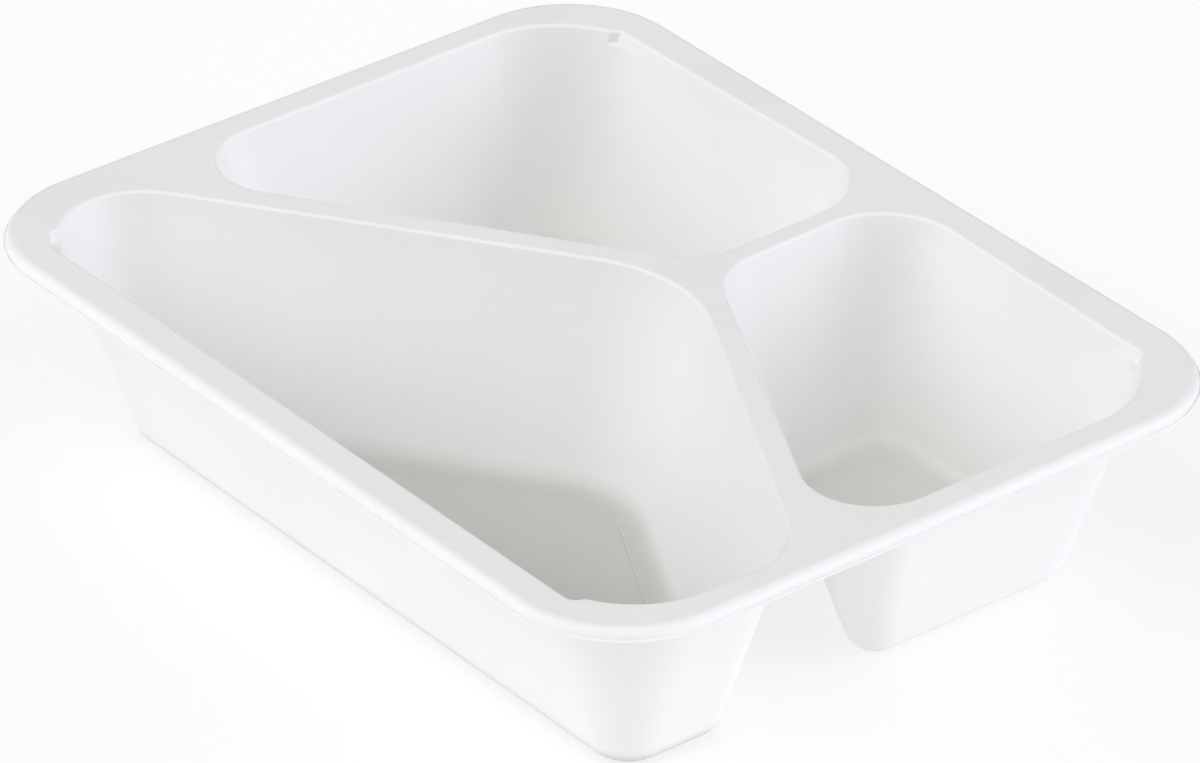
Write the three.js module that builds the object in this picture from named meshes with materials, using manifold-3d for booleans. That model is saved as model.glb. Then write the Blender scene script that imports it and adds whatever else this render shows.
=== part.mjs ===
// A three-compartment meal tray, thermoformed from one sheet of white plastic.
// Millimetres, +Z up. The origin is on the surface that the tray stands on, under the middle of its rim,
// +X runs along the long side and +Y along the short one.
//
// The moulding is divided into the regions that a person would name: the rim with its lip, its webs and
// the collars at the top of the wells, and the three wells below. The real tray has no joints between them.
import * as THREE from "three";
import { mergeVertices } from "three/addons/utils/BufferGeometryUtils.js";
import Module from "manifold-3d";

// Overall size and sheet
const LENGTH = 227;
const WIDTH = 178;
const HEIGHT = 50;
const SHEET = 0.7;
const FLOOR_DEPTH = HEIGHT - SHEET;

// Wells: the walls lean in by DRAFT, and the floors meet them in a soft curve
const DRAFT = THREE.MathUtils.degToRad(17.4);
const WALL_SLOPE = Math.tan(DRAFT);
const MOUTH_RADIUS = 1.0;
const FLOOR_RADIUS = 5.2;
const LEAST_CORNER = 0.6;

// Lip: the rim rolls down to a narrow trim flange, which is the tray's outermost edge
const CORNER_RADIUS = 28;
const TRIM_WIDTH = 0.5;
const TRIM_THICKNESS = 0.5;
const LIP_RADIUS = 2.3;

// Denesting notches: a small ledge at each outer corner, just under the rim
const NOTCH_RADIUS = 2.6;
const NOTCH_DEPTH = 2.8;
const NOTCH_START = 3;

// The collars end and the wells begin at COLLAR_DEPTH, with a gap between the two solids
const COLLAR_DEPTH = 6;
const SOLID_GAP = 0.3;

// A cutting solid runs this far past what it cuts
const CUT_SPARE = 1;

// Fineness of the curves
const ARC_STEPS = 10;
const FILLET_STEPS = 5;
const NOTCH_STEPS = 10;

// Colour of the moulding
const WHITE = 0xf1efec;
const SATIN_ROUGHNESS = 0.38;

// A corner: where its two sides would meet, the radius at the rim and the radius at the floor.
// The corners run anticlockwise, and side i goes from corner i to the next. lean is how much further than
// the others a side moves in on its way to the floor. notchTurn says where the end of the corner's notch is:
// the angle from the long side of the tray, towards the short side. bulge is how far the notch stands out.
const WELLS = {
  large_compartment: {
    corners: [
      { x: -141.1, y: -79.2, rim: 18.6, floor: 4.5, notchTurn: 36, bulge: 1.4 },
      { x: 105.2, y: -79.4, rim: 25, floor: 8, notchTurn: 22, bulge: 1.6 },
      { x: 105.6, y: -30.9, rim: 20.5, floor: 4.5 },
      { x: 5.0, y: 23.2, rim: 35, floor: 23 },
    ],
    lean: [-0.3, 0.2, -0.2, 0.8],
  },
  side_compartment: {
    corners: [
      { x: 7.4, y: 27.6, rim: 16.5, floor: 8 },
      { x: 104.7, y: -22.7, rim: 15.5, floor: 5 },
      { x: 104.9, y: 77.1, rim: 25, floor: 12, notchTurn: 22, bulge: 1.6 },
      { x: 6.2, y: 79.5, rim: 18, floor: 8 },
    ],
    lean: [-1.4, 0.8, -1.2, 0],
  },
  back_compartment: {
    corners: [
      { x: -104.3, y: -44.8, rim: 15, floor: 4.5 },
      { x: 2.0, y: 28.1, rim: 17.5, floor: 8 },
      { x: 1.4, y: 79.8, rim: 17.5, floor: 8 },
      { x: -105.3, y: 78.0, rim: 25, floor: 12, notchTurn: 18, bulge: 1.1 },
    ],
    lean: [0, 0, 0, 0],
  },
};

// The rim's outline is a rounded rectangle, and its sides don't lean.
const rimCorner = (x, y) => ({ x, y, rim: CORNER_RADIUS, floor: CORNER_RADIUS });
const RIM = {
  corners: [
    rimCorner(-LENGTH / 2, -WIDTH / 2),
    rimCorner(LENGTH / 2, -WIDTH / 2),
    rimCorner(LENGTH / 2, WIDTH / 2),
    rimCorner(-LENGTH / 2, WIDTH / 2),
  ],
  lean: [0, 0, 0, 0],
  slope: 0,
};

const wasm = await Module();
wasm.setup();

// A closed geometry as a solid for cutting and joining.
function solidOf(geometry) {
  geometry.deleteAttribute("normal");
  geometry.deleteAttribute("uv");
  const merged = mergeVertices(geometry, 1e-4);
  return new wasm.Manifold(
    new wasm.Mesh({
      numProp: 3,
      vertProperties: new Float32Array(merged.attributes.position.array),
      triVerts: new Uint32Array(merged.index.array),
    }),
  );
}

function meshOf(name, solid) {
  const { vertProperties, triVerts } = solid.getMesh();
  const geometry = new THREE.BufferGeometry();
  geometry.setAttribute("position", new THREE.BufferAttribute(vertProperties, 3));
  geometry.setIndex(new THREE.BufferAttribute(triVerts, 1));
  const material = new THREE.MeshStandardMaterial({ color: WHITE, roughness: SATIN_ROUGHNESS, metalness: 0 });
  const mesh = new THREE.Mesh(geometry, material);
  mesh.name = name;
  return mesh;
}

// The sharp outline of a shape, with side i moved in by insets[i].
function insetCorners(corners, insets) {
  const at = corners.map(({ x, y }) => new THREE.Vector2(x, y));
  const last = at.length - 1;
  const along = at.map((p, i) => at[i === last ? 0 : i + 1].clone().sub(p).normalize());
  return at.map((p, i) => {
    const before = i === 0 ? last : i - 1;
    const inBefore = new THREE.Vector2(-along[before].y, along[before].x);
    const inAfter = new THREE.Vector2(-along[i].y, along[i].x);
    const start = p.clone().addScaledVector(inBefore, insets[before]);
    const slide = (insets[i] - insets[before] * inBefore.dot(inAfter)) / along[before].dot(inAfter);
    return start.addScaledVector(along[before], slide);
  });
}

// The arc that rounds corner i of an outline: its centre, its radius and the angles where it starts and ends.
function cornerArc(points, i, radius) {
  const here = points[i];
  const toBefore = points.at(i - 1).clone().sub(here).normalize();
  const toAfter = points[(i + 1) % points.length].clone().sub(here).normalize();
  const halfAngle = Math.acos(toBefore.dot(toAfter)) / 2;
  const inward = toBefore.clone().add(toAfter).normalize();
  const centre = here.clone().addScaledVector(inward, radius / Math.sin(halfAngle));
  const turn = Math.PI - 2 * halfAngle;
  const middle = inward.negate().angle();
  return { centre, radius, start: middle - turn / 2, end: middle + turn / 2 };
}

// The rounded outline of a well or of the rim at a depth below the rim's top, pushed inwards by extra,
// or outwards where extra is negative.
function outline({ corners, lean, slope = WALL_SLOPE }, depth, extra) {
  const share = depth / FLOOR_DEPTH;
  const insets = lean.map((more) => depth * slope + more * share + extra);
  const points = insetCorners(corners, insets);
  return corners.flatMap(({ rim, floor }, i) => {
    const radius = Math.max(THREE.MathUtils.lerp(rim, floor, share) - extra, LEAST_CORNER);
    const { centre, start, end } = cornerArc(points, i, radius);
    return new THREE.EllipseCurve(centre.x, centre.y, radius, radius, start, end).getPoints(ARC_STEPS);
  });
}

// A closed solid through outlines, from the lowest to the highest. A step is { depth, extra }.
function loft(shape, steps) {
  const rings = steps.map(({ depth, extra }) => outline(shape, depth, extra));
  const size = rings[0].length;
  const position = rings.flatMap((ring, k) => ring.flatMap(({ x, y }) => [x, y, HEIGHT - steps[k].depth]));
  const index = [];
  for (let k = 0; k + 1 < rings.length; k += 1) {
    for (let i = 0; i < size; i += 1) {
      const low = k * size;
      const high = low + size;
      const next = (i + 1) % size;
      index.push(low + i, low + next, high + next, low + i, high + next, high + i);
    }
  }
  const top = (rings.length - 1) * size;
  for (const [a, b, c] of THREE.ShapeUtils.triangulateShape(rings[0], [])) {
    index.push(c, b, a);
  }
  for (const [a, b, c] of THREE.ShapeUtils.triangulateShape(rings.at(-1), [])) {
    index.push(top + a, top + b, top + c);
  }
  const geometry = new THREE.BufferGeometry();
  geometry.setAttribute("position", new THREE.Float32BufferAttribute(position, 3));
  geometry.setIndex(index);
  return solidOf(geometry);
}

// How far the outside of a leaning wall is from its inside, seen from above.
const wallOffset = (sheet) => -sheet / Math.cos(DRAFT);

// How far a curve of radius 1 between a wall and a flat reaches from the corner that it rounds.
const CURVE_REACH = Math.tan((Math.PI / 2 - DRAFT) / 2);

// A step on a curve whose inset is measured from the mouth's edge, not from the leaning wall.
const stepAt = (depth, inset) => ({ depth, extra: inset - depth * WALL_SLOPE });

// The curve from the wall to the floor, floor first: the inside of the sheet, or its outside by one sheet.
function floorCurve(sheet) {
  const radius = FLOOR_RADIUS + sheet;
  const depth = FLOOR_DEPTH + sheet;
  const foot = depth * WALL_SLOPE + wallOffset(sheet);
  const centre = foot + radius * CURVE_REACH;
  return Array.from({ length: FILLET_STEPS + 1 }, (_, k) => {
    const angle = THREE.MathUtils.lerp(Math.PI / 2, DRAFT, k / FILLET_STEPS);
    return stepAt(depth - radius * (1 - Math.sin(angle)), centre - radius * Math.cos(angle));
  });
}

// The curve from the wall to the rim's flat top, wall first: the top of the sheet, or its underside.
function mouthCurve(sheet) {
  const radius = MOUTH_RADIUS - sheet;
  const centre = -MOUTH_RADIUS * CURVE_REACH;
  return Array.from({ length: FILLET_STEPS + 1 }, (_, k) => {
    const angle = THREE.MathUtils.lerp(Math.PI / 2 - DRAFT, 0, k / FILLET_STEPS);
    return stepAt(MOUTH_RADIUS - radius * Math.cos(angle), centre + radius * Math.sin(angle));
  });
}

// The lip's curve from its foot up to the flat top: the outside of the sheet, or its inside.
function lipCurve(sheet) {
  const radius = LIP_RADIUS - sheet;
  const centre = TRIM_WIDTH + LIP_RADIUS;
  return Array.from({ length: FILLET_STEPS + 1 }, (_, k) => {
    const angle = THREE.MathUtils.lerp(Math.PI / 2, 0, k / FILLET_STEPS);
    return { depth: LIP_RADIUS - radius * Math.cos(angle), extra: centre - radius * Math.sin(angle) };
  });
}

// The flat sheet of the rim with its rolled lip and trim flange, before the mouths are cut.
function rimPan() {
  const foot = LIP_RADIUS + TRIM_THICKNESS;
  const outside = loft(RIM, [{ depth: foot, extra: 0 }, { depth: LIP_RADIUS, extra: 0 }, ...lipCurve(0)]);
  const hollow = loft(RIM, [{ depth: foot + CUT_SPARE, extra: TRIM_WIDTH + SHEET }, ...lipCurve(SHEET)]);
  return outside.subtract(hollow);
}

// The post that pushes corner i's notch out of a well's wall, up to the depth top: a slot with round ends,
// which starts beside the long side. With sheet it is the outside of the notch, without it the inside.
function notchPost(well, i, sheet, top) {
  const corner = well.corners[i];
  const { centre } = cornerArc(insetCorners(well.corners, [0, 0, 0, 0]), i, corner.rim);
  const turn = THREE.MathUtils.degToRad(corner.notchTurn);
  const reach = corner.rim + corner.bulge - NOTCH_RADIUS;
  const place = (x, y) => new THREE.Vector2(
    centre.x + Math.sign(corner.x) * x,
    centre.y + Math.sign(corner.y) * y,
  );
  const end = place(reach * Math.sin(turn), Math.min(reach * Math.cos(turn), corner.rim - NOTCH_RADIUS));
  const start = place(NOTCH_START, corner.rim - NOTCH_RADIUS);
  const radius = NOTCH_RADIUS + sheet;
  const facing = end.clone().sub(start).angle();
  const slot = new THREE.Shape();
  slot.absarc(end.x, end.y, radius, facing - Math.PI / 2, facing + Math.PI / 2);
  slot.absarc(start.x, start.y, radius, facing + Math.PI / 2, facing + 3 * Math.PI / 2);
  const ledge = NOTCH_DEPTH + sheet;
  const post = new THREE.ExtrudeGeometry(slot, {
    depth: ledge - top,
    bevelEnabled: false,
    curveSegments: NOTCH_STEPS,
  });
  post.translate(0, 0, HEIGHT - ledge);
  return solidOf(post);
}

function notches(well, sheet, top) {
  const notched = well.corners.map((_, i) => i).filter((i) => well.corners[i].notchTurn);
  return notched.map((i) => notchPost(well, i, sheet, top));
}

// The rim: the sheet, with a collar reaching down into each well.
function rimFlange() {
  const wells = Object.values(WELLS);
  const collars = wells.flatMap((well) => [
    loft(well, [
      { depth: COLLAR_DEPTH, extra: wallOffset(SHEET) },
      ...mouthCurve(SHEET),
      stepAt(SHEET / 2, -MOUTH_RADIUS * CURVE_REACH),
    ]),
    ...notches(well, SHEET, SHEET / 2),
  ]);
  const mouths = wells.flatMap((well) => [
    loft(well, [
      { depth: COLLAR_DEPTH + CUT_SPARE, extra: 0 },
      ...mouthCurve(0),
      stepAt(-CUT_SPARE, -MOUTH_RADIUS * CURVE_REACH),
    ]),
    ...notches(well, 0, -CUT_SPARE),
  ]);
  const joined = collars.reduce((all, collar) => all.add(collar), rimPan());
  return mouths.reduce((all, mouth) => all.subtract(mouth), joined);
}

// A well: an open-topped shell below its collar.
function compartment(well) {
  const outside = loft(well, [
    ...floorCurve(SHEET),
    { depth: COLLAR_DEPTH + SOLID_GAP, extra: wallOffset(SHEET) },
  ]);
  const inside = loft(well, [...floorCurve(0), { depth: COLLAR_DEPTH - CUT_SPARE, extra: 0 }]);
  return outside.subtract(inside);
}

const tray = new THREE.Group();
tray.add(meshOf("rim_flange", rimFlange()));
for (const [name, well] of Object.entries(WELLS)) {
  tray.add(meshOf(name, compartment(well)));
}

export default tray;
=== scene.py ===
from math import acos, atan2, cos, pi, radians, sin, sqrt, tan

import bpy
import numpy as np
from mathutils import Matrix, Vector
from mathutils.geometry import delaunay_2d_cdt


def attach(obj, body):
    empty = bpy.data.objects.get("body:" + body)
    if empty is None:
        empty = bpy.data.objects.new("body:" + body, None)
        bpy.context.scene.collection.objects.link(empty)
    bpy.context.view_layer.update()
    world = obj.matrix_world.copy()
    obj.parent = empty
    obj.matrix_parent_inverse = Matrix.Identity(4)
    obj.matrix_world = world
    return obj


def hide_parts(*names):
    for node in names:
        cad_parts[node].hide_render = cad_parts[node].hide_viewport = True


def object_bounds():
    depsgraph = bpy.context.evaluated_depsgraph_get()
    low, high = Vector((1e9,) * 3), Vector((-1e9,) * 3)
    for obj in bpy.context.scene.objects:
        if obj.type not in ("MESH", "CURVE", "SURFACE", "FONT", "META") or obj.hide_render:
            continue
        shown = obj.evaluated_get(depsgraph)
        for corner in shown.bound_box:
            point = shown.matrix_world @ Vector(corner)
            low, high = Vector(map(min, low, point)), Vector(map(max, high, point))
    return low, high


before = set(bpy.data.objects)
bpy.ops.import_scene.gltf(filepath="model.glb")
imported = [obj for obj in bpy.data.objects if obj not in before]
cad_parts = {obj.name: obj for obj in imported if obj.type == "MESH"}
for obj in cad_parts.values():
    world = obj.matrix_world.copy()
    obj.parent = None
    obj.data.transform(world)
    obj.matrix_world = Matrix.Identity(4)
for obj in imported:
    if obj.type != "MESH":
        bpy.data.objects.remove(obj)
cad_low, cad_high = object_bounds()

MM = 0.001

# Overall size and sheet
LENGTH, WIDTH, HEIGHT = (cad_high - cad_low) / MM
SHEET = 0.7
FLOOR_DEPTH = HEIGHT - SHEET

# Wells
DRAFT = radians(17.4)
WALL_SLOPE = tan(DRAFT)
WALL_OFFSET = -SHEET / cos(DRAFT)  # from a leaning wall's inside to its outside, seen from above
MOUTH_RADIUS = 1.0
FLOOR_RADIUS = 5.2
LEAST_CORNER = 0.6
CURVE_REACH = tan((pi / 2 - DRAFT) / 2)  # how far a curve of radius 1 reaches from the corner that it rounds

# Where the rim's collars end and the wells begin: halfway along the gap between the two solids
PARTING_DEPTH = 6.15

# Lip and trim flange
CORNER_RADIUS = 28
TRIM_WIDTH = 0.5
TRIM_THICKNESS = 0.5
LIP_RADIUS = 2.3
TRIM_FILLET = 0.25
TRIM_EDGE = 0.12

# Denesting notches
NOTCH_RADIUS = 2.6
NOTCH_BLEND = 0.8
NOTCH_DEPTH = 2.8
LEDGE_RISE = 0.4

# The fine line that the mould's floor plate leaves around each floor
LINE_OFFSET = 0.5
LINE_WIDTH = 0.8
LINE_DEPTH = 0.17

# A corner: where its two sides would meet, the radius at the rim and the radius at the floor. The corners
# run anticlockwise, and side i goes from corner i to the next. lean is how much further than the others a
# side moves in on its way to the floor. notch is the angle from the long side of the tray to the middle of
# a notch's round end, and bulge is how far the notch stands out there. The last two entries are painted
# shade on the floor, standing in for the shade deep in the well: how bright it leaves the floor beside the
# walls, and the heights that it fades in between.
LARGE = {
    "corners": [
        {"x": -141.1, "y": -79.2, "rim": 18.6, "floor": 4.5, "notch": radians(36), "bulge": 1.4},
        {"x": 105.2, "y": -79.4, "rim": 25, "floor": 8, "notch": radians(22), "bulge": 1.6},
        {"x": 105.6, "y": -30.9, "rim": 20.5, "floor": 4.5},
        {"x": 5.0, "y": 23.2, "rim": 35, "floor": 23},
    ],
    "lean": [-0.3, 0.2, -0.2, 0.8],
    "slope": WALL_SLOPE,
    # Painted shade on this well's floor, and the heights that it fades in between
    "shaded_floor_tone": 0.65,
    "shade_heights": (5.2, 0.6),
}
SIDE = {
    "corners": [
        {"x": 7.4, "y": 27.6, "rim": 16.5, "floor": 8},
        {"x": 104.7, "y": -22.7, "rim": 15.5, "floor": 5},
        {"x": 104.9, "y": 77.1, "rim": 25, "floor": 12, "notch": radians(22), "bulge": 1.6},
        {"x": 6.2, "y": 79.5, "rim": 18, "floor": 8},
    ],
    "lean": [-1.4, 0.8, -1.2, 0],
    "slope": WALL_SLOPE,
    # Painted shade on this well's floor, and the heights that it fades in between
    "shaded_floor_tone": 0.85,
    "shade_heights": (3.4, 0.3),
}
BACK = {
    "corners": [
        {"x": -104.3, "y": -44.8, "rim": 15, "floor": 4.5},
        {"x": 2.0, "y": 28.1, "rim": 17.5, "floor": 8},
        {"x": 1.4, "y": 79.8, "rim": 17.5, "floor": 8},
        {"x": -105.3, "y": 78.0, "rim": 25, "floor": 12, "notch": radians(18), "bulge": 1.1},
    ],
    "lean": [0, 0, 0, 0],
    "slope": WALL_SLOPE,
    # Painted shade on this well's floor, and the heights that it fades in between
    "shaded_floor_tone": 0.8,
    "shade_heights": (5.2, 0.6),
}
RIM = {
    "corners": [
        {"x": x * LENGTH / 2, "y": y * WIDTH / 2, "rim": CORNER_RADIUS, "floor": CORNER_RADIUS}
        for x, y in ((-1, -1), (1, -1), (1, 1), (-1, 1))
    ],
    "lean": [0, 0, 0, 0],
    "slope": 0,
}

# Fineness
ARC_STEPS = 28
NOTCH_STEPS = 36
SIDE_STEPS = 6
CURVE_STEPS = 10
NUDGE = 1e-4  # the step that slopes are worked out over
MOST_TURN = 1.2  # how far round its corner, in radians, a notch's straight side is worked out


# --- Outlines -------------------------------------------------------------------------------------------

def corner_arcs(shape, depth, extra):
    """Each corner's arc at a depth, pushed inwards by extra: centre, radius, start angle and end angle."""
    share = depth / FLOOR_DEPTH
    corners = np.array([(c["x"], c["y"]) for c in shape["corners"]])
    insets = [depth * shape["slope"] + more * share + extra for more in shape["lean"]]
    along = np.roll(corners, -1, axis=0) - corners
    along /= np.linalg.norm(along, axis=1)[:, None]
    outward = np.column_stack((along[:, 1], -along[:, 0]))
    reach = np.sum(outward * corners, axis=1) - insets
    arcs = []
    for i, corner in enumerate(shape["corners"]):
        point = np.linalg.solve([outward[i - 1], outward[i]], [reach[i - 1], reach[i]])
        radius = max(corner["rim"] + (corner["floor"] - corner["rim"]) * share - extra, LEAST_CORNER)
        middle = outward[i - 1] + outward[i]
        middle /= np.linalg.norm(middle)
        half_turn = acos(np.clip(middle @ outward[i], -1, 1))
        centre = point - middle * radius / cos(half_turn)
        facing = atan2(middle[1], middle[0])
        arcs.append((centre, radius, facing - half_turn, facing + half_turn))
    return arcs


def smooth_above_zero(value, blend):
    """value where it is positive and 0 where it is negative, with a soft step between the two."""
    near = np.clip(blend - np.abs(value), 0, None) / blend
    return np.maximum(value, 0) + near ** 2 * blend / 4


def bulge(corner, angle, radius):
    """How far a notch pushes an arc of a radius out, at an angle round it. The notch runs along the long
    side's straight line and has a round end, whose back is upright."""
    if "notch" not in corner:
        return np.zeros_like(angle)
    turn = np.arctan2(np.sign(corner["x"]) * np.cos(angle), np.sign(corner["y"]) * np.sin(angle))
    reach = corner["rim"] + corner["bulge"] - NOTCH_RADIUS
    past = np.clip(turn - corner["notch"], 0, None)
    half_width = np.sqrt(np.clip(NOTCH_RADIUS ** 2 - (reach * np.sin(past)) ** 2, 0, None))
    round_end = np.where(half_width > 0, reach * np.cos(past) + half_width - radius, -radius)
    raised = smooth_above_zero(round_end, NOTCH_BLEND)
    long_side = radius / np.cos(np.clip(turn, 0, MOST_TURN)) - radius
    return long_side - smooth_above_zero(long_side - raised, NOTCH_BLEND / 2)


def notch_share(depth):
    """How much of its notches an outline has at a depth: all down to the ledge, none below it."""
    below = np.clip((depth - NOTCH_DEPTH) / LEDGE_RISE + 0.5, 0, 1)
    return 1 - below * below * (3 - 2 * below)


def arc_angles(corner, start, end):
    """The angles of a corner's points, closer together where its notch is."""
    if "notch" not in corner:
        return np.linspace(start, end, ARC_STEPS + 1)
    facing = atan2(np.sign(corner["y"]) * cos(corner["notch"]), np.sign(corner["x"]) * sin(corner["notch"]))
    facing = start + (facing - start) % (2 * pi)
    spread = 2 * NOTCH_RADIUS / corner["rim"]
    low, high = max(facing - spread, start), min(facing + spread, end)
    rest = ARC_STEPS // 2
    return np.concatenate((
        np.linspace(start, low, rest, endpoint=False),
        np.linspace(low, high, NOTCH_STEPS, endpoint=False),
        np.linspace(high, end, rest + 1),
    ))


def ring(shape, depth, extra, sheet_below=0.0):
    """The points of an outline and the direction that it runs in at each, as two arrays."""
    arcs = corner_arcs(shape, depth, extra)
    points, headings = [], []
    for i, (centre, radius, start, end) in enumerate(arcs):
        corner = shape["corners"][i]
        angle = arc_angles(corner, start, end)
        share = notch_share(depth - sheet_below)
        wall_radius = corner["rim"] + (corner["floor"] - corner["rim"]) * depth / FLOOR_DEPTH
        before, here, after = (bulge(corner, angle + move, wall_radius) for move in (-NUDGE, 0, NUDGE))
        reach = radius + share * here
        change = share * (after - before) / (2 * NUDGE)
        ray = np.column_stack((np.cos(angle), np.sin(angle)))
        across = np.column_stack((-ray[:, 1], ray[:, 0]))
        points.append(centre + ray * reach[:, None])
        headings.append(across * reach[:, None] + ray * change[:, None])
        next_centre, next_radius, next_start, _ = arcs[(i + 1) % len(arcs)]
        first = centre + radius * np.array((cos(end), sin(end)))
        last = next_centre + next_radius * np.array((cos(next_start), sin(next_start)))
        share_along = np.arange(1, SIDE_STEPS)[:, None] / SIDE_STEPS
        points.append(first + (last - first) * share_along)
        headings.append(np.tile(across[-1], (SIDE_STEPS - 1, 1)))
    points, headings = np.vstack(points), np.vstack(headings)
    return points, headings / np.linalg.norm(headings, axis=1)[:, None]


# --- Profiles: functions from a number to a depth and an inset from the leaning wall -----------------------

def from_mouth(depth, inset):
    """A depth with an inset from the mouth's edge, as a depth with an inset from the leaning wall."""
    return depth, inset - depth * WALL_SLOPE


def mouth_curve(sheet):
    """From the rim's flat top, angle 0, to the wall: the top of the sheet, or its underside."""
    radius = MOUTH_RADIUS - sheet
    centre = -MOUTH_RADIUS * CURVE_REACH
    return lambda angle: from_mouth(MOUTH_RADIUS - radius * cos(angle), centre + radius * sin(angle))


def floor_curve(sheet):
    """From the wall, angle DRAFT, to the floor: the inside of the sheet, or its outside."""
    radius = FLOOR_RADIUS + sheet
    depth = FLOOR_DEPTH + sheet
    centre = depth * WALL_SLOPE - sheet / cos(DRAFT) + radius * CURVE_REACH
    return lambda angle: from_mouth(depth - radius * (1 - sin(angle)), centre - radius * cos(angle))


def floor_line(sheet):
    """Across the fine line around the floor, by the distance inwards from the end of the floor's curve."""
    edge_depth, edge_extra = floor_curve(sheet)(pi / 2)
    sign = -1 if sheet else 1

    def place(inwards):
        across = min(max((inwards - LINE_OFFSET) / LINE_WIDTH, 0), 1)
        groove = sign * LINE_DEPTH * (0.5 - 0.5 * cos(2 * pi * across))
        return edge_depth + groove, edge_extra + inwards - groove * WALL_SLOPE
    return place


def wall(offset):
    """Straight down the leaning wall, or beside it, by the depth."""
    return lambda depth: (depth, offset)


def curve(depth, extra, radius):
    """A round of the lip, by the angle from straight up towards the outside."""
    return lambda angle: (depth - radius * cos(angle), extra - radius * sin(angle))


def straight(depth_0, extra_0, depth_1, extra_1):
    """From one place to another, by a share from 0 to 1."""
    return lambda t: (depth_0 + (depth_1 - depth_0) * t, extra_0 + (extra_1 - extra_0) * t)


def steps(start, end, count=CURVE_STEPS):
    """Even values from start to end."""
    return np.linspace(start, end, count + 1)


# --- Skins ------------------------------------------------------------------------------------------------

class Skin:
    """A closed mesh with the true normal of the surface at every corner of every face."""

    def __init__(self):
        self.vertices, self.faces, self.normals = [], [], []

    def add_ring(self, points, depth):
        first = len(self.vertices)
        self.vertices.extend((x, y, HEIGHT - depth) for x, y in points)
        return list(range(first, len(self.vertices)))

    def loft(self, shape, segments, last=None, end=None):
        """Faces along a chain of segments, each a profile, its values and how far it is below the sheet's
        top. The chain runs down the inside of the tray and up its outside. It starts from the ring last
        and closes on the ring end where those are given, and its first and last rings are returned."""
        first = last
        for number, (profile, values, below) in enumerate(segments):
            forward = NUDGE if values[-1] > values[0] else -NUDGE
            closing = end if number == len(segments) - 1 else None
            for k, value in enumerate(values):
                depth, extra = profile(value)
                points, headings = ring(shape, depth, extra, below)
                normals = self.normals_at(shape, profile, value, forward, headings, below)
                if k == 0 and last is not None:
                    index = last
                elif k == len(values) - 1 and closing is not None:
                    index = closing
                else:
                    index = self.add_ring(points, depth)
                if k > 0:
                    self.strip(last, index, last_normals, normals)
                if first is None:
                    first = index
                last, last_normals = index, normals
        return first, last

    @staticmethod
    def normals_at(shape, profile, value, forward, headings, below):
        before_depth, before_extra = profile(value - forward)
        after_depth, after_extra = profile(value + forward)
        before, _ = ring(shape, before_depth, before_extra, below)
        after, _ = ring(shape, after_depth, after_extra, below)
        onward = np.column_stack((after - before, np.full(len(after), before_depth - after_depth)))
        level = np.column_stack((headings, np.zeros(len(headings))))
        normal = np.cross(level, onward)
        return normal / np.linalg.norm(normal, axis=1)[:, None]

    def strip(self, ring_0, ring_1, normals_0, normals_1):
        for i in range(len(ring_0)):
            j = (i + 1) % len(ring_0)
            self.faces.append((ring_0[i], ring_0[j], ring_1[j], ring_1[i]))
            self.normals.extend((normals_0[i], normals_0[j], normals_1[j], normals_1[i]))

    def flat(self, faces, up):
        """Level faces, given anticlockwise from above, that face up or down."""
        for face in faces:
            self.faces.append(tuple(face) if up else tuple(reversed(face)))
            self.normals.extend([(0, 0, 1 if up else -1)] * len(face))

    def piece(self, name, node, material):
        mesh = bpy.data.meshes.new(name)
        mesh.from_pydata([Vector(v) * MM for v in self.vertices], [], self.faces)
        mesh.shade_smooth()
        mesh.normals_split_custom_set(self.normals)
        mesh.materials.append(material)
        made = bpy.data.objects.new(name, mesh)
        bpy.context.scene.collection.objects.link(made)
        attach(made, "root")
        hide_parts(node)
        return made


def inside_outline(points, outline):
    """Which points are inside a closed outline."""
    x, y = points[:, 0], points[:, 1]
    inside = np.zeros(len(points), bool)
    for (x0, y0), (x1, y1) in zip(outline, np.roll(outline, -1, axis=0)):
        crosses = (y0 > y) != (y1 > y)
        with np.errstate(divide="ignore", invalid="ignore"):
            inside ^= crosses & (x < (x1 - x0) * (y - y0) / (y1 - y0) + x0)
    return inside


def plate_triangles(outer, holes):
    """Triangles between an outline and the holes in it, as numbers into outer and then each hole."""
    loops = [outer, *holes]
    points = np.vstack(loops)
    edges, first = [], 0
    for loop in loops:
        size = len(loop)
        edges.extend((first + i, first + (i + 1) % size) for i in range(size))
        first += size
    made = delaunay_2d_cdt([Vector(p) for p in points], edges, [], 0, 1e-7)
    vertices, triangles, origins = made[0], made[2], made[3]
    middles = np.array([np.mean([vertices[i] for i in t], axis=0) for t in triangles])
    keep = inside_outline(middles, outer)
    for hole in holes:
        keep &= ~inside_outline(middles, hole)
    return [[origins[i][0] for i in t] for t, kept in zip(triangles, keep) if kept]


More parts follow.
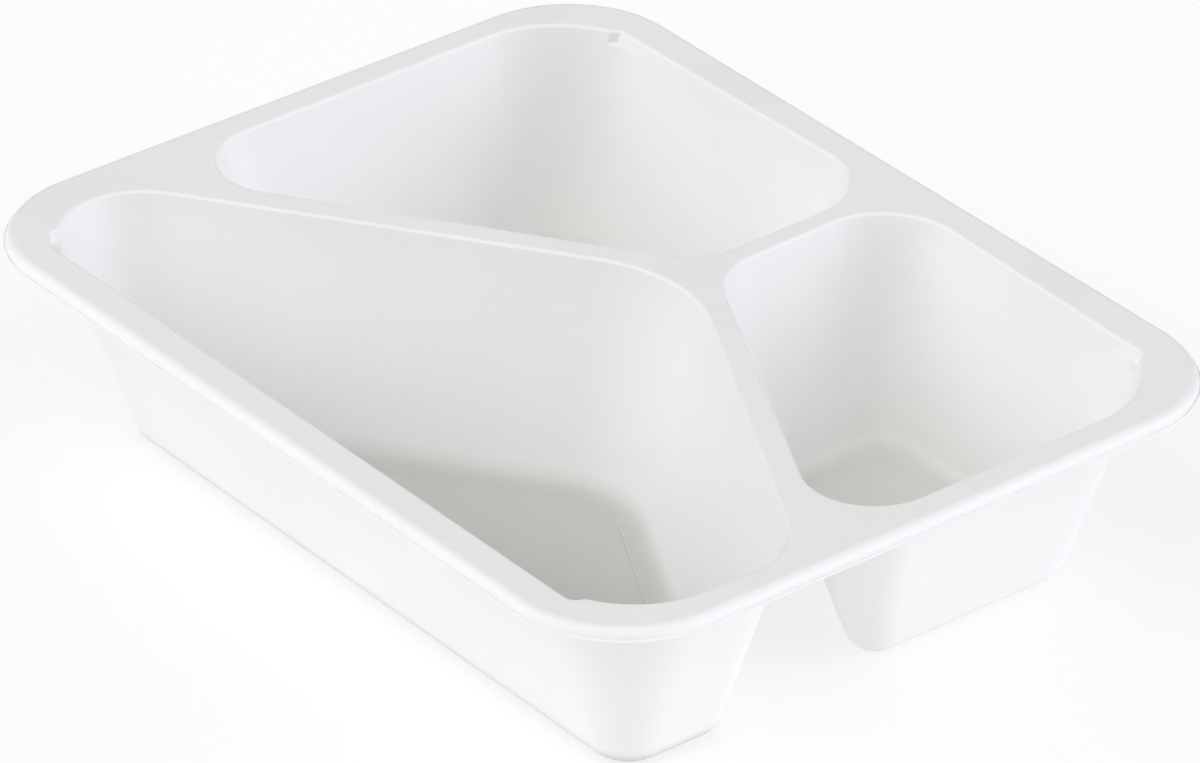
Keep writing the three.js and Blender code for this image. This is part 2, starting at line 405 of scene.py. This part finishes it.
def lip_segments():
    """The rim's lip, from its underside round the trim flange to the flat top."""
    centre = TRIM_WIDTH + LIP_RADIUS
    foot = LIP_RADIUS + TRIM_THICKNESS
    inner = TRIM_WIDTH + SHEET
    edge = TRIM_EDGE
    reach = LIP_RADIUS + TRIM_FILLET
    fillet_extra = centre - sqrt(reach ** 2 - TRIM_FILLET ** 2)
    meet = acos(TRIM_FILLET / reach)
    return [
        (curve(LIP_RADIUS, centre, LIP_RADIUS - SHEET), steps(0, pi / 2), 0),
        (straight(LIP_RADIUS, inner, foot - edge, inner), steps(0, 1, 1), 0),
        (curve(foot - edge, inner - edge, edge), steps(-pi / 2, -pi, 3), 0),
        (straight(foot, inner - edge, foot, edge), steps(0, 1, 2), 0),
        (curve(foot - edge, edge, edge), steps(pi, pi / 2, 3), 0),
        (straight(foot - edge, 0, LIP_RADIUS + edge, 0), steps(0, 1, 1), 0),
        (curve(LIP_RADIUS + edge, edge, edge), steps(pi / 2, 0, 3), 0),
        (straight(LIP_RADIUS, edge, LIP_RADIUS, fillet_extra), steps(0, 1, 1), 0),
        (curve(LIP_RADIUS - TRIM_FILLET, fillet_extra, TRIM_FILLET), steps(pi, pi + meet, 4), 0),
        (curve(LIP_RADIUS, centre, LIP_RADIUS), steps(meet, 0, 2 * CURVE_STEPS), 0),
    ]


def wall_depths(start, ledge):
    """The depths of a collar's rings from start to the parting, close together across the ledge."""
    return np.concatenate((
        steps(start, ledge - LEDGE_RISE / 2, 3)[:-1],
        steps(ledge - LEDGE_RISE / 2, ledge + LEDGE_RISE / 2, 8)[:-1],
        steps(ledge + LEDGE_RISE / 2, PARTING_DEPTH, 2),
    ))


def collar_segments():
    """A well's collar, from the rim's flat top down its inside and up its outside to the underside."""
    steepest = pi / 2 - DRAFT
    inside, outside = mouth_curve(0), mouth_curve(SHEET)
    inside_depths = wall_depths(inside(steepest)[0], NOTCH_DEPTH)
    outside_depths = wall_depths(outside(steepest)[0], NOTCH_DEPTH + SHEET)
    return [
        (inside, steps(0, steepest), 0),
        (wall(0), inside_depths, 0),
        (straight(PARTING_DEPTH, 0, PARTING_DEPTH, WALL_OFFSET), steps(0, 1, 1), 0),
        (wall(WALL_OFFSET), outside_depths[::-1], SHEET),
        (outside, steps(steepest, 0), SHEET),
    ]


def make_rim():
    """The rim, its webs and lip, and the collars, as one skin."""
    skin = Skin()
    under, top = skin.loft(RIM, lip_segments())
    tops, unders = [top], [under]
    for shape in (LARGE, SIDE, BACK):
        mouth, foot = skin.loft(shape, collar_segments())
        tops.append(mouth)
        unders.append(foot)
    outlines = [np.array([skin.vertices[i][:2] for i in loop]) for loop in tops]
    triangles = plate_triangles(outlines[0], outlines[1:])
    for loops, up in ((tops, True), (unders, False)):
        index = np.concatenate(loops)
        skin.flat([[int(index[i]) for i in t] for t in triangles], up)
    return skin.piece("rim_and_webs", "rim_flange", tray_plastic())


def make_well(name, node, shape):
    """A well below the parting: down its inside to the floor, and up its outside from the underside."""
    skin = Skin()
    inner, outer = floor_curve(0), floor_curve(SHEET)
    line_end = LINE_OFFSET + 2 * LINE_WIDTH
    line_steps = np.array([0, *steps(LINE_OFFSET, LINE_OFFSET + LINE_WIDTH, 8), line_end])
    top, floor = skin.loft(shape, [
        (wall(0), steps(PARTING_DEPTH, inner(DRAFT)[0], 4), 0),
        (inner, steps(DRAFT, pi / 2), 0),
        (floor_line(0), line_steps, 0),
    ])
    underside, _ = skin.loft(shape, [
        (floor_line(SHEET), line_steps[::-1], SHEET),
        (outer, steps(pi / 2, DRAFT), SHEET),
        (wall(WALL_OFFSET), steps(outer(DRAFT)[0], PARTING_DEPTH, 4), SHEET),
        (straight(PARTING_DEPTH, WALL_OFFSET, PARTING_DEPTH, 0), steps(0, 1, 1), 0),
    ], end=top)
    skin.flat([floor], True)
    skin.flat([underside], False)
    return skin.piece(name, node, tray_plastic(shape["shaded_floor_tone"], shape["shade_heights"]))


# --- Materials --------------------------------------------------------------------------------------------

WHITE = np.array(((0.915, 0.906, 0.899, 1), (0.935, 0.927, 0.921, 1)))
# The tint of the painted shade on the wells' floors.
SHADE_TINT = (0.99, 1.0, 0.97)
CLOUD_SIZE, GLOSS_SIZE, WAVE_SIZE, GRAIN_SIZE = 40 * MM, 14 * MM, 6 * MM, 0.35 * MM
WAVE_HEIGHT, GRAIN_HEIGHT = 0.01 * MM, 0.004 * MM
ROUGHNESS = (0.4, 0.48)
PLASTIC_IOR = 1.49
TONE_SPAN, GLOSS_SPAN = (0.35, 0.65), (0.3, 0.7)  # noise values that a tone and a gloss change between
PAPER_GREY, PAPER_GLOW, PAPER_ROUGHNESS = 0.35, 0.66, 0.9


def node(tree, kind, **settings):
    """A shader node. Names of settings are its own, and those of inputs start with a capital."""
    made = tree.nodes.new("ShaderNode" + kind)
    for key, value in settings.items():
        if key[0].isupper():
            made.inputs[key.replace("_", " ")].default_value = value
        else:
            setattr(made, key, value)
    return made


def noise(tree, place, size, detail):
    """Noise of a size, over the piece's own coordinates."""
    made = node(tree, "TexNoise", Scale=1 / size, Detail=detail)
    tree.links.new(place, made.inputs["Vector"])
    return made.outputs["Fac"]


def ramp(tree, factor, low, high):
    """A colour between two, as a noise goes from its low values to its high ones."""
    made = node(tree, "ValToRGB")
    for stop, position, colour in zip(made.color_ramp.elements, TONE_SPAN, (low, high)):
        stop.position, stop.color = position, colour
    tree.links.new(factor, made.inputs["Fac"])
    return made.outputs["Color"]


def bump(tree, height, distance, normal=None):
    """A bump of a height in metres, on top of another if there is one."""
    made = node(tree, "Bump", Strength=1.0, Distance=distance)
    tree.links.new(height, made.inputs["Height"])
    if normal:
        tree.links.new(normal, made.inputs["Normal"])
    return made.outputs["Normal"]


def tray_plastic(shaded_floor_tone=1.0, shade_heights=(1.0, 0.0)):
    """Satin white polypropylene with a fine mould grain. Painted shade turns it greyer between two heights,
    down to the given tone at the floor: it stands in for the shade deep in a well, where a floor lying on the
    surface below also gets no light through the sheet."""
    material = bpy.data.materials.new("tray_plastic")
    material.use_nodes = True
    tree = material.node_tree
    shader = tree.nodes["Principled BSDF"]
    place = node(tree, "TexCoord").outputs["Object"]

    clouds = noise(tree, place, CLOUD_SIZE, 2.0)
    # Painted shade: the colour turns greyer towards a well's floor, between the given heights.
    height = node(tree, "SeparateXYZ")
    tree.links.new(place, height.inputs["Vector"])
    start, end = (z * MM for z in shade_heights)
    floor_shade_share = node(tree, "MapRange", interpolation_type="SMOOTHSTEP", From_Min=start, From_Max=end)
    tree.links.new(height.outputs["Z"], floor_shade_share.inputs["Value"])
    tone = node(tree, "MixRGB")
    tree.links.new(floor_shade_share.outputs["Result"], tone.inputs["Fac"])
    tree.links.new(ramp(tree, clouds, *WHITE), tone.inputs["Color1"])
    shaded_white = WHITE * (*(shaded_floor_tone * t for t in SHADE_TINT), 1)
    tree.links.new(ramp(tree, clouds, *shaded_white), tone.inputs["Color2"])
    tree.links.new(tone.outputs["Color"], shader.inputs["Base Color"])

    (start, end), (low, high) = GLOSS_SPAN, ROUGHNESS
    gloss = node(tree, "MapRange", From_Min=start, From_Max=end, To_Min=low, To_Max=high)
    tree.links.new(noise(tree, place, GLOSS_SIZE, 3.0), gloss.inputs["Value"])
    tree.links.new(gloss.outputs["Result"], shader.inputs["Roughness"])

    waves = bump(tree, noise(tree, place, WAVE_SIZE, 1.0), WAVE_HEIGHT)
    grain = bump(tree, noise(tree, place, GRAIN_SIZE, 2.0), GRAIN_HEIGHT, waves)
    tree.links.new(grain, shader.inputs["Normal"])
    shader.inputs["IOR"].default_value = PLASTIC_IOR
    return material


def floor_paper():
    """A pale matt floor that gives a little light of its own."""
    material = bpy.data.materials.new("floor_paper")
    material.use_nodes = True
    shader = material.node_tree.nodes["Principled BSDF"]
    shader.inputs["Base Color"].default_value = (PAPER_GREY, PAPER_GREY, PAPER_GREY, 1)
    shader.inputs["Roughness"].default_value = PAPER_ROUGHNESS
    shader.inputs["Specular IOR Level"].default_value = 0.0
    shader.inputs["Emission Color"].default_value = (1, 1, 1, 1)
    shader.inputs["Emission Strength"].default_value = PAPER_GLOW
    return material


make_rim()
make_well("large_well", "large_compartment", LARGE)
make_well("side_well", "side_compartment", SIDE)
make_well("back_well", "back_compartment", BACK)

# --- Floor, light and camera --------------------------------------------------------------------------------

FLOOR_SIZE = 12.0
FLOOR_GAP = 0.02 * MM  # keeps the floor clear of the wells' undersides
bpy.ops.mesh.primitive_plane_add(size=FLOOR_SIZE, location=(0, 0, -FLOOR_GAP))
floor = bpy.context.object
floor.name = "floor"
floor.data.materials.append(floor_paper())

# Soft lights: azimuth from the front, elevation, sharpness, strength and tint. Each fades smoothly with the
# angle from its middle, faster where it is sharper.
COOL, NEUTRAL, WARM = (0.97, 0.96, 1.1), (1.0, 0.99, 1.0), (1.02, 1.03, 0.9)
LIGHTS = (
    (135, 8, 12, 1.5, COOL),
    (135, 22, 12, 2.2, COOL),
    (135, 38, 8, 0.7, NEUTRAL),
    (315, 22, 12, 1.2, COOL),
    (315, 38, 8, 1.1, NEUTRAL),
    (0, 38, 8, 0.9, NEUTRAL),
    (45, 38, 8, 0.75, NEUTRAL),
    (0, 70, 6, 0.7, WARM),
)


def towards(azimuth, elevation):
    """The direction of an azimuth, anticlockwise from the front, and an elevation."""
    level = cos(elevation)
    return Vector((sin(azimuth) * level, -cos(azimuth) * level, sin(elevation)))


def studio_world():
    """A world whose light is the sum of the soft lights."""
    world = bpy.data.worlds.new("studio")
    world.use_nodes = True
    tree = world.node_tree
    direction = node(tree, "TexCoord").outputs["Generated"]
    total = None
    for azimuth, elevation, sharpness, strength, tint in LIGHTS:
        nearness = node(tree, "VectorMath", operation="DOT_PRODUCT")
        tree.links.new(direction, nearness.inputs[0])
        nearness.inputs[1].default_value = towards(radians(azimuth), radians(elevation))
        fall = node(tree, "Math", operation="MULTIPLY_ADD")
        tree.links.new(nearness.outputs["Value"], fall.inputs[0])
        fall.inputs[1].default_value, fall.inputs[2].default_value = sharpness, -sharpness
        glow = node(tree, "Math", operation="EXPONENT")
        tree.links.new(fall.outputs["Value"], glow.inputs[0])
        light = node(tree, "VectorMath", operation="SCALE")
        light.inputs[0].default_value = Vector(tint) * strength
        tree.links.new(glow.outputs["Value"], light.inputs["Scale"])
        if total:
            both = node(tree, "VectorMath", operation="ADD")
            tree.links.new(total, both.inputs[0])
            tree.links.new(light.outputs["Vector"], both.inputs[1])
            total = both.outputs["Vector"]
        else:
            total = light.outputs["Vector"]
    tree.links.new(total, tree.nodes["Background"].inputs["Color"])
    return world


bpy.context.scene.world = studio_world()

CAMERA_TARGET = Vector((0.0277, -0.0209, 0.050))
CAMERA_AZIMUTH = radians(51.07)
CAMERA_ELEVATION = radians(31.28)
CAMERA_DISTANCE = 1.9557
CAMERA_ROLL = radians(0.44)
CAMERA_LENS = 276.6


def make_camera():
    data = bpy.data.cameras.new("camera")
    data.lens = CAMERA_LENS
    data.sensor_width = 36.0
    data.clip_start, data.clip_end = 0.05, 50.0
    camera = bpy.data.objects.new("camera", data)
    bpy.context.scene.collection.objects.link(camera)
    back = towards(CAMERA_AZIMUTH, CAMERA_ELEVATION)
    camera.location = CAMERA_TARGET + back * CAMERA_DISTANCE
    turn = (-back).to_track_quat("-Z", "Y").to_matrix()
    camera.rotation_euler = (turn @ Matrix.Rotation(CAMERA_ROLL, 3, "Z")).to_euler()
    bpy.context.scene.camera = camera


make_camera()
scene = bpy.context.scene
scene.view_settings.view_transform = "Standard"
